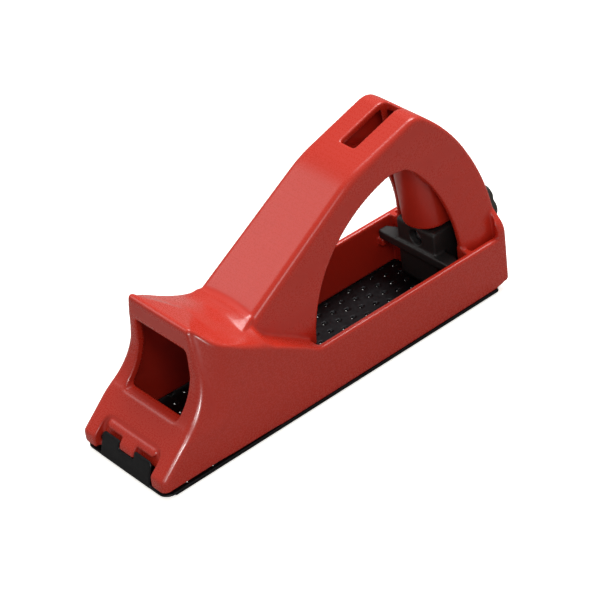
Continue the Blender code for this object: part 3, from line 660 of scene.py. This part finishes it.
def body_field(x, y, z):
    """The whole moulding: shells joined with fillets, then its openings."""
    outer, inner, top = nose_and_base(x, y, z)
    shell = cut(outer, inner, 0.5)
    grip, grip_outer, by_spine = handle(x, y, z)
    fillet = (1.2 + 4.0 * by_spine) * (1 - smooth_step(x, HEEL - 20, HEEL - 8)) + 0.01
    solid = join(shell, grip, 0.01 + (fillet - 0.01) * smooth_step(top, -1.8, -0.2))
    web = meet(between(y, 14.1, 20.4), between(x, HEEL - 16.6, HEEL - 14.6), 0.0)
    solid = join(solid, meet(web, between(z, BODY_BOTTOM, RAIL_TOP - 0.3), 0.3), 0.3)
    ledge = meet(between(y, HALF_WIDTH - 4.9, HALF_WIDTH - 1.5), between(z, 11.9, 15.1), 0.3)
    solid = join(solid, meet(ledge, between(x, HEEL - 23.5, HEEL - 15.6), 0.3), 0.3)
    from_screw = np.hypot(y, z - SCREW_Z)
    solid = join(solid, meet(from_screw - BOSS_RADIUS, between(x, HEEL - 3.1, HEEL - 0.5), 0.2), 0.3)
    solid = meet(solid, join(outer, grip_outer, fillet))
    window = outline_field(y, z, rounded([(-13.8, 19.8, 1.4), (13.8, 19.8, 1.4),
                                          (13.2, 43.2, 1.4), (-13.2, 43.2, 1.4)]))
    solid = cut(solid, meet(window, x - LIP[0] - 2.5), 0.6)
    solid = cut(solid, toe_recess(x, y, z), 0.5)
    return cut(solid, meet(from_screw - SCREW_HOLE, HEEL - 7.5 - x), 0.3)


body = moulding("body_moulding", body_field, (TOE, 0, BODY_BOTTOM), (HEEL, HALF_WIDTH, 79.0), 0.55, 190_000)

# %% [markdown]
# # Moulded plastic
# The body is ABS, dyed through and moulded against a fine spark-eroded tool, which leaves a satin
# skin. The eye sees an even red, a soft sheen on the flats and a brighter, tighter highlight where
# handling and mould wear have smoothed the edges. The edges are made smoother, and they are also
# painted a paler red as a painted highlight. Colour, roughness and bump each get their own noise,
# sized from the skin: flow marks some 20 mm long, spark texture of about 0.2 mm.

# %% Red ABS, moulded and satin, with a painted highlight on its rounded edges
red_abs, tree, shader = new_material("red_abs_moulded_satin", IOR=1.53)
dyed, satin = surface(tree, shader, ("#CC2C1B", "#D2311E"), 22.0, (0.32, 0.42), 0.5, (0.25, 0.04, 0.12, 2.0))
# Convex edges get a painted highlight, a paler red where rounded edges catch the light, and a lower
# roughness where wear smooths them.
bent = node(tree, "Attribute", {"attribute_name": "edge"}).outputs["Fac"]
painted_highlight_share = remap(tree, bent, 0.0, 0.2, 0.2, 0.45)
dye_with_painted_highlight = node(tree, "Mix", {"data_type": "RGBA"}, _0=painted_highlight_share, _6=dyed, _7=linear("#DB4331")).outputs[2]
tree.links.new(dye_with_painted_highlight, shader.inputs["Base Color"])
smoother = remap(tree, bent, 0.0, -0.1, 0.2, 0.45)
polished = node(tree, "Math", {"operation": "ADD"}, _0=satin, _1=smoother).outputs[0]
tree.links.new(polished, shader.inputs["Roughness"])
body.data.materials.append(red_abs)
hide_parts("body")
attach(body, "plane_body")

# %% [markdown]
# # Blade
# The blade is a strip of hardened steel, punched with rows of holes. Each punch pushes a tooth out of
# the underside, with its edge to the toe. The long edges are turned down for stiffness, and both
# ends are bent up into tongues. Holes and teeth repeat on a slanted grid, so one hole's field, read
# at the place within its grid cell, gives all of them at once.

# %% Blade: sheet, turned edges, tongues, holes and teeth
BLADE_FRONT, BLADE_REAR = corner("blade", 0)[0], corner("blade", 1)[0]
BLADE_TOP = SOLE + 1.7
SHEET = 0.8
PITCH, ROW_PITCH, ROW_SHIFT, ROWS = 10.7, 2.5, 6.2, 8
FIRST_HOLE, HOLE_MARGIN = 6.8, 3.5
HOLE_HALF_LENGTH, HOLE_HALF_WIDTH = 0.95, 0.76
print("blade", round(BLADE_REAR - BLADE_FRONT, 1), "mm long, with", 2 * ROWS + 1, "rows of holes")


def blade_field(x, y, z):
    """Perforated strip: the nearest hole's centre is found by rounding to the slanted grid."""
    plan = outline_field(x, y, rounded([
        (BLADE_FRONT, -HALF_WIDTH, 4.0), (BLADE_REAR, -HALF_WIDTH, 0.5),
        (BLADE_REAR, HALF_WIDTH, 0.5), (BLADE_FRONT, HALF_WIDTH, 4.0)]))
    sheet = meet(plan, between(z, BLADE_TOP - SHEET, BLADE_TOP), 0.2)
    turned = meet(HALF_WIDTH - 1.1 - np.abs(y), between(x, BLADE_FRONT + 4.0, BLADE_REAR), 0.2)
    turned = meet(meet(plan, turned), between(z, SOLE + 0.35, BLADE_TOP), 0.35)
    row = np.clip(np.round(y / ROW_PITCH), -ROWS, ROWS)
    first = (FIRST_HOLE + row * ROW_SHIFT) % PITCH
    first = BLADE_FRONT + np.where(first < HOLE_MARGIN, first + PITCH, first)
    last = first + np.floor((BLADE_REAR - HOLE_MARGIN - first) / PITCH) * PITCH
    centre = np.clip(first + np.round((x - first) / PITCH) * PITCH, first, last)
    u, v = x - centre, y - row * ROW_PITCH
    hole = (np.hypot(u / HOLE_HALF_LENGTH, v / HOLE_HALF_WIDTH) - 1) * HOLE_HALF_WIDTH
    dome = (np.sqrt(((u - 1.0) / 1.5)**2 + (v / 0.95)**2 + ((z - BLADE_TOP + SHEET) / 0.9)**2) - 1) * 0.7
    tooth = meet(meet(dome, -u - 0.15, 0.0), z - BLADE_TOP + 0.3)
    strip = join(cut(join(sheet, turned, 0.3), hole, 0.15), tooth)
    front = outline_field(x, z, rounded([
        (BLADE_FRONT, 0.7, 1.0), (BLADE_FRONT, 2.0, 1.5), (BLADE_FRONT + 2.4, 10.0, 0.3),
        (BLADE_FRONT + 3.24, 10.0, 0.3), (BLADE_FRONT + 0.84, 2.0, 0.6), (BLADE_FRONT + 2.0, 0.9, 0)]))
    face = outline_field(y, z, rounded([
        (-13, -2, 0), (13, -2, 0), (13, 10, 2.0), (4, 10, 0.6), (4, 7, 0.6), (-4, 7, 0.6), (-4, 10, 0.6),
        (-13, 10, 2.0)]))
    behind = meet(between(x, BLADE_REAR - SHEET, BLADE_REAR), outline_field(y, z, rounded([
        (-8, 0.4, 0), (8, 0.4, 0), (8, 11, 1.5), (-8, 11, 1.5)])), 0.25)
    return join(join(strip, meet(front, face, 0.2), 0.3), behind, 0.5)


blade = moulding("perforated_blade", blade_field, (BLADE_FRONT, -HALF_WIDTH, SOLE),
                 (BLADE_REAR, HALF_WIDTH, SOLE + 11.0), 0.33, 180_000)

# %% [markdown]
# # Blackened steel
# The strip is heat-treated and dipped, which leaves a thin black oxide with oil in it. The eye sees a
# dark, slightly uneven metal, and bright bare steel at the teeth's tips where the oxide has been cut
# away. The height above the sole tells the tips from the sheet, so the wear needs no painting.

# %% Hardened strip steel, blackened and oiled
TIP_BARE, TIP_BLACK = 0.05 * MM, 0.4 * MM
black_steel, tree, shader = new_material("strip_steel_blackened", Metallic=0.75)
oxide, _ = surface(tree, shader, ("#161618", "#242427"), 6.0, (0.32, 0.5), 1.5, (0.4, 0.03, 0.25, 3.0), 4.0)
place = node(tree, "TexCoord").outputs["Object"]
height = node(tree, "SeparateXYZ", Vector=place).outputs["Z"]
bare = remap(tree, height, 1.0, 0.0, TIP_BARE, TIP_BLACK)
tipped = node(tree, "Mix", {"data_type": "RGBA"}, _0=bare, _6=oxide, _7=linear("#8E9094")).outputs[2]
tree.links.new(tipped, shader.inputs["Base Color"])
blade.data.materials.append(black_steel)
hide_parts("blade")
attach(blade, "plane_body")

# %% [markdown]
# # Carriage
# The carriage is a nylon block inside the heel. Its two wings slide on ledges in the body, and a
# pocket holds the nut. The screw pulls it, and it pushes the blade's rear tongue and so stretches the
# blade. It is a moulding too, so it is made the same way as the body, with smaller radii.

# %% Carriage
CARRIAGE_LOW, CARRIAGE_HIGH = corner("carriage", 0), corner("carriage", 1)
NUT_X = (corner("captive_nut", 0)[0] + corner("captive_nut", 1)[0]) / 2


def carriage_field(x, y, z):
    """Block with a bevelled front foot, two wings, a nut pocket and the screw's bore."""
    front, rear = CARRIAGE_LOW[0] + 1.3, CARRIAGE_HIGH[0]
    low, top = CARRIAGE_LOW[2], CARRIAGE_HIGH[2]
    side_view = outline_field(x, z, rounded([
        (front, low + 3, 0.8), (front + 2, low, 0.6), (rear, low, 0.6), (rear, top, 0.8),
        (front, top, 1.5)]))
    block = meet(side_view, y - 9.4, 0.7)
    tip = CARRIAGE_HIGH[1]
    wings = outline_field(x, y, rounded([
        (front - 1.3, -tip, 0.8), (front + 2.6, -tip, 0.8), (front + 4.7, 3.9 - tip, 0.8),
        (front + 4.7, tip - 3.9, 0.8), (front + 2.6, tip, 0.8), (front - 1.3, tip, 0.8)]))
    solid = join(block, meet(wings, between(z, 15.4, 18.9), 0.6), 1.0)
    pocket = meet(between(x, NUT_X - 2.3, NUT_X + 2.3), y - 4.3, 0.3)
    solid = cut(solid, meet(pocket, SCREW_Z - 5.1 - z), 0.3)
    window = meet(between(x, front + 2.2, front + 7.6), y - 6.4, 0.8)
    solid = cut(solid, meet(window, top - 1.2 - z, 0.4), 0.4)
    return cut(solid, np.hypot(y, z - SCREW_Z) - 3.0, 0.3)


carriage = moulding("carriage_moulding", carriage_field, (CARRIAGE_LOW[0], 0, CARRIAGE_LOW[2]),
                    CARRIAGE_HIGH, 0.36, 60_000)

# %% [markdown]
# # Black nylon
# The carriage is nylon filled with glass and dyed black, moulded against an eroded tool. The eye sees
# a dull, dark grey that is greyest where light grazes it, with a skin coarser than the body's.

# %% Black nylon, moulded
black_nylon, tree, shader = new_material("black_nylon_moulded", IOR=1.53)
surface(tree, shader, ("#1B1A1A", "#262423"), 8.0, (0.42, 0.56), 0.8, (0.35, 0.05, 0.3, 3.0))
carriage.data.materials.append(black_nylon)
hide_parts("carriage")
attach(carriage, "carriage_body")

# %% [markdown]
# # Screw, knob, nut and washer
# These were turned, rolled or moulded round one line, so each is a surface with two parameters: the
# way along a profile, and the angle round the screw. Where a piece isn't round, its radius changes
# with the angle: six times a turn on a hexagon, eight times on the knob's flutes, and once a turn,
# moving along with it, on a thread.


# %% Helpers for pieces round the screw
TURN = np.linspace(0, 2 * np.pi, 96, endpoint=False)


def hexagon(across_flats):
    """Radius of a hexagon at each angle: half its width over the cosine from the nearest flat. Two of
    its flats stand upright, so that the nut fits between the walls of its pocket."""
    return across_flats / 2 / np.cos((TURN + np.pi / 6) % (np.pi / 3) - np.pi / 6)


def turned(name, along, radius, closed):
    """Ring i lies at along[i], with radius[i, angle]. A closed profile joins its last ring to its
    first, and an open one ends in two centre points."""
    rows, turns = radius.shape
    x = np.broadcast_to(np.asarray(along, float)[:, None], radius.shape)
    points = np.stack((x, radius * np.cos(TURN), SCREW_Z + radius * np.sin(TURN)), -1).reshape(-1, 3)
    i, j = np.meshgrid(np.arange(rows if closed else rows - 1), np.arange(turns), indexing="ij")
    below, above = i * turns, (i + 1) % rows * turns
    after = (j + 1) % turns
    quads = np.stack((below + j, below + after, above + after, above + j), -1).reshape(-1, 4)
    faces = np.concatenate((quads[:, :3], quads[:, [0, 2, 3]]))
    if not closed:
        points = np.concatenate((points, [(along[0], 0, SCREW_Z), (along[-1], 0, SCREW_Z)]))
        ring, last = np.arange(turns), (rows - 1) * turns
        near = np.stack((np.full(turns, rows * turns), (ring + 1) % turns, ring), 1)
        far = np.stack((np.full(turns, rows * turns + 1), last + ring, last + (ring + 1) % turns), 1)
        faces = np.concatenate((faces, near, far))
    made = add_mesh(name, points, faces)
    made.data.set_sharp_from_angle(angle=math.radians(38))
    print(name, len(faces), "triangles")
    return made


# %% Screw: rolled thread, clip groove and chamfered hexagon head
SCREW_START, SCREW_END = corner("tension_screw", 0)[0], corner("tension_screw", 1)[0]
SCREW_RADIUS, GROOVE_RADIUS, THREAD_PITCH, THREAD_DEPTH = 2.5, 2.0, 0.8, 0.43
CLIP_LOW, CLIP_HIGH = corner("retaining_clip", 0)[0], corner("retaining_clip", 1)[0]
head_start = SCREW_END - 3.5
thread_x = np.arange(SCREW_START + 0.1, CLIP_LOW - 2.0, 0.1)
phase = (thread_x[:, None] / THREAD_PITCH - TURN / (2 * np.pi)) % 1
depth = THREAD_DEPTH * np.clip(1.15 - np.abs(2 * phase - 1) * 1.3, 0, 1)
run_in, run_out = thread_x - SCREW_START + 0.3, CLIP_LOW - 2.0 - thread_x
depth *= np.clip(np.minimum(run_in, run_out), 0, 1)[:, None]
lead = np.minimum(1, (thread_x - SCREW_START) / 0.6 * 0.3 + 0.7)[:, None]
shank = np.array([
    (CLIP_LOW - 1.9, SCREW_RADIUS), (CLIP_LOW - 0.3, SCREW_RADIUS), (CLIP_LOW - 0.3, GROOVE_RADIUS),
    (CLIP_HIGH + 0.3, GROOVE_RADIUS), (CLIP_HIGH + 0.3, SCREW_RADIUS), (head_start, SCREW_RADIUS)])
head = hexagon(8.0)
head_rows = [(head_start, head - 0.5), (head_start + 0.25, head - 0.1), (head_start + 0.4, head),
             (SCREW_END - 0.9, head), (SCREW_END - 0.45, np.minimum(head, 4.25)),
             (SCREW_END - 0.1, np.minimum(head, 3.9)), (SCREW_END, np.minimum(head, 3.6))]
screw_along = np.concatenate(([SCREW_START], thread_x, shank[:, 0], [row[0] for row in head_rows]))
screw_radius = np.concatenate((np.full((1, TURN.size), 1.5), SCREW_RADIUS * lead - depth,
                               np.repeat(shank[:, 1:], TURN.size, 1), [row[1] for row in head_rows]))
screw = turned("hexagon_screw", screw_along, screw_radius, closed=False)

# %% Knob: eight flutes, a dished end and a hexagonal seat for the screw's head
KNOB_START, KNOB_END = corner("tension_knob", 0)[0], corner("tension_knob", 1)[0]
FLUTES, FLUTE_DEPTH = 8, 0.9
KNOB_RADIUS, BACK_ROUND, END_ROUND = 10.0, 1.0, 1.4
flute = FLUTE_DEPTH * (0.5 - 0.5 * np.cos(FLUTES * TURN))**2
seat = hexagon(8.6)
round_over = np.radians(np.linspace(0, 90, 7))
rim_back = [(KNOB_START + BACK_ROUND * (1 - math.cos(a)),
             KNOB_RADIUS - BACK_ROUND * (1 - math.sin(a)) - flute) for a in round_over]
rim_end = [(KNOB_END - END_ROUND * (1 - math.sin(a)),
            KNOB_RADIUS - END_ROUND * (1 - math.cos(a)) - flute) for a in round_over]
plain = np.ones(TURN.size)
knob_rows = [(KNOB_START, 2.8 * plain), (KNOB_START, 5.5 * plain), *rim_back, *rim_end,
             (KNOB_END, 7.2 * plain), (KNOB_END - 0.5, 6.8 * plain), (KNOB_END - 0.5, 5.9 * plain),
             (KNOB_END - 0.1, 5.5 * plain), (KNOB_END - 0.1, seat + 0.3), (KNOB_END - 0.4, seat),
             (KNOB_END - 4.4, seat), (KNOB_END - 4.4, 2.8 * plain)]
knob = turned("fluted_knob", [row[0] for row in knob_rows], np.array([row[1] for row in knob_rows]), True)

# %% Nut and washer
nut_low, nut_high = corner("captive_nut", 0)[0], corner("captive_nut", 1)[0]
flats = hexagon(8.0)
nut_rows = [(nut_low, 2.9 * plain), (nut_low, np.minimum(flats, 3.8)),
            (nut_low + 0.5, np.minimum(flats, 4.5)), (nut_low + 0.7, flats),
            (nut_high - 0.7, flats), (nut_high - 0.5, np.minimum(flats, 4.5)),
            (nut_high, np.minimum(flats, 3.8)), (nut_high, 2.9 * plain)]
nut = turned("hexagon_nut", [row[0] for row in nut_rows], np.array([row[1] for row in nut_rows]), True)
washer_low, washer_high = corner("washer", 0)[0], corner("washer", 1)[0]
washer_rows = [(washer_low, 2.9), (washer_low, 4.8), (washer_low + 0.2, 5.0), (washer_high - 0.1, 5.0),
               (washer_high, 4.9), (washer_high, 2.9)]
washer = turned("flat_washer", [row[0] for row in washer_rows],
                np.array([row[1] * plain for row in washer_rows]), True)

# %% [markdown]
# # Retaining clip
# The clip is an open ring stamped from spring steel: a small section carried along most of a circle.
# It snaps into the screw's groove and turns against the boss inside the heel wall.


# %% Clip
def open_ring(name, inner, outer, low, high, half_opening):
    """A rounded rectangle carried round a circle from one side of a gap at the bottom to the other.
    It shrinks at both ends as the edge of a quarter circle does, so the ends are closed and round."""
    sides, end_degrees, squareness = 16, 12, 0.4
    sweep = np.linspace(-90 + half_opening, 270 - half_opening, 61)
    near_end = np.minimum(sweep - sweep[0], sweep[-1] - sweep) / end_degrees
    size = np.sqrt(np.maximum(1 - np.clip(1 - near_end, 0, 1)**2, 1e-4))[:, None]
    section = np.radians(np.linspace(0, 360, sides, endpoint=False))
    across = np.sign(np.cos(section)) * np.abs(np.cos(section))**squareness
    thick = np.sign(np.sin(section)) * np.abs(np.sin(section))**squareness
    radius = (inner + outer) / 2 + size * across * (outer - inner) / 2
    x = (low + high) / 2 + size * thick * (high - low) / 2
    angle = np.radians(sweep)[:, None]
    points = np.stack((x, radius * np.cos(angle), SCREW_Z + radius * np.sin(angle)), -1).reshape(-1, 3)
    i, j = np.meshgrid(np.arange(len(sweep) - 1), np.arange(sides), indexing="ij")
    here, beyond, after = i * sides, (i + 1) * sides, (j + 1) % sides
    quads = np.stack((here + j, beyond + j, beyond + after, here + after), -1).reshape(-1, 4)
    faces = np.concatenate((quads[:, :3], quads[:, [0, 2, 3]]))
    fan = np.stack((np.zeros(sides - 2, int), np.arange(1, sides - 1), np.arange(2, sides)), 1)
    faces = np.concatenate((faces, fan, fan[:, ::-1] + (len(sweep) - 1) * sides))
    print(name, len(faces), "triangles")
    return add_mesh(name, points, faces)


clip = open_ring("spring_clip", 2.3, 4.6, CLIP_LOW, CLIP_HIGH, 28)

# %% [markdown]
# # Finishes of the small pieces
# Screw, nut and washer are steel with bright zinc plating, which clouds in small patches. The clip is
# spring steel with a phosphate coat, darker and duller, as plating would make it brittle. The knob is
# nylon like the carriage, a little warmer and smoother where fingers rub it.

# %% Zinc plating, phosphate coat and knob nylon
zinc, tree, shader = new_material("steel_zinc_plated", Metallic=1.0)
surface(tree, shader, ("#BFC2C6", "#D2D4D6"), 2.5, (0.22, 0.38), 0.6)
spring, tree, shader = new_material("spring_steel_phosphated", Metallic=1.0)
surface(tree, shader, ("#4A4B4F", "#616267"), 1.5, (0.35, 0.5), 0.5)
knob_nylon, tree, shader = new_material("knob_nylon_moulded", IOR=1.53)
surface(tree, shader, ("#24221E", "#302D27"), 5.0, (0.36, 0.5), 0.6, (0.3, 0.05, 0.3, 3.0))

# %% Each small piece: the node it stands for, its body, slot and finish
SMALL = [
    (screw, "tension_screw", "tension_gear", "plated_steel", zinc),
    (knob, "tension_knob", "tension_gear", "knob_plastic", knob_nylon),
    (nut, "captive_nut", "carriage_body", "plated_steel", zinc),
    (washer, "washer", "tension_gear", "plated_steel", zinc),
    (clip, "retaining_clip", "tension_gear", "spring_steel", spring),
]
for piece, replaced, rides_on, slot, finish in SMALL:
    piece.data.materials.append(finish)
    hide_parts(replaced)
    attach(piece, rides_on)
    print(piece.name, "turns or slides with", rides_on)
